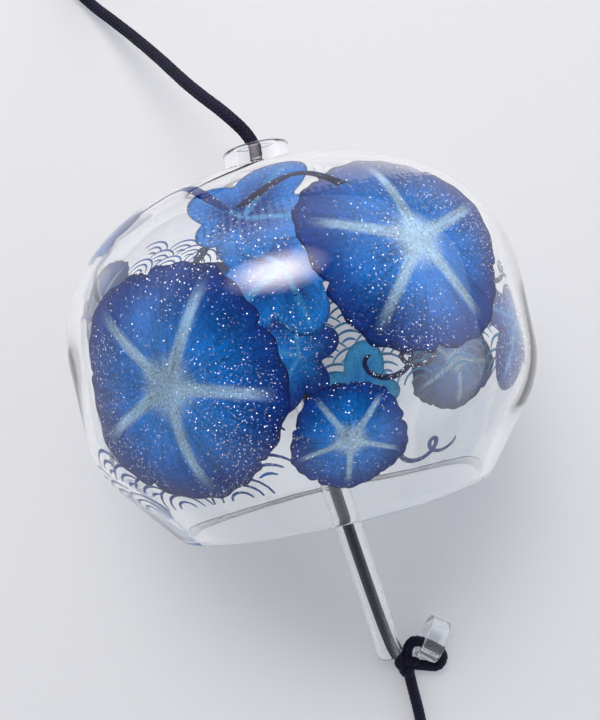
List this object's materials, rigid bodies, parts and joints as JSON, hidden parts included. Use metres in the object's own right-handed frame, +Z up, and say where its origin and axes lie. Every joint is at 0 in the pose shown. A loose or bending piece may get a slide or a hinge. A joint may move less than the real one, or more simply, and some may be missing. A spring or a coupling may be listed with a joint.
{
  "type": "glass wind bell",
  "caption": "Small glass wind bell lying on its side, with a knotted cord through its neck, a clear tube clapper held by short rings, and a plain paper strip on the tail.",
  "frame": {"origin": "middle of the footprint on the table, the free cords left out", "axes": "+Z up from the table the bell lies on; +Y along the bell's axis from mouth to neck, which is also the longest way from strip to neck; +X to the right seen from above with the neck up"},
  "size_m": [0.08, 0.3662, 0.08],
  "materials": {
    "bell_glass": "clear free-blown glass, painted inside in blues with silver flecks, ground mouth",
    "tube_glass": "clear glass tube, fire-polished ends",
    "clear_ring": "short slice of clear tube",
    "cord": "very dark navy round braid, matt with a faint sheen",
    "paper": "plain pale card, matt"
  },
  "bodies": {
    "bell": {"bell_glass": "bell_glass"},
    "line": {"neck_cord": "cord", "upper_stopper_ring": "clear_ring", "upper_knot": "cord"},
    "hanger": {"hanging_cord": "cord", "hanging_loop": "cord"},
    "clapper": {"inner_cord": "cord", "lower_stopper_ring": "clear_ring", "lower_knot": "cord"},
    "tube": {"clapper_tube": "tube_glass"},
    "tail": {"tail_cord": "cord"},
    "strip": {"strip_knot": "cord", "paper_strip": "paper"}
  },
  "joints": [
    {"name": "line_turns_in_neck", "type": "hinge", "parent": "bell", "child": "line", "pos_m": [0, 0.13267, 0.04], "axis": [0, 1, 0], "continuous": true},
    {"name": "hanging_cord_swings_at_neck", "type": "hinge", "parent": "line", "child": "hanger", "pos_m": [0, 0.13422, 0.03755], "axis": [1, 0, 0], "range_deg": [0, 60]},
    {"name": "clapper_swings_at_upper_knot", "type": "hinge", "parent": "line", "child": "clapper", "pos_m": [-0.0035, 0.11417, 0.03105], "axis": [-0.996, -0.0889, 0], "range_deg": [0, 46]},
    {"name": "tube_slides_on_cord", "type": "slide", "parent": "clapper", "child": "tube", "axis": [-0.0847, 0.9493, 0.3029], "range_m": [0, 0.005]},
    {"name": "tail_swings_at_lower_knot", "type": "hinge", "parent": "clapper", "child": "tail", "pos_m": [0.0069, 0.02231, 0.00125], "axis": [-1, 0, 0], "range_deg": [-20, 60]},
    {"name": "strip_swings_on_tail", "type": "hinge", "parent": "tail", "child": "strip", "pos_m": [0.0062, -0.01769, 0.0025], "axis": [-0.9976, -0.0698, 0], "range_deg": [0, 60]}
  ]
}
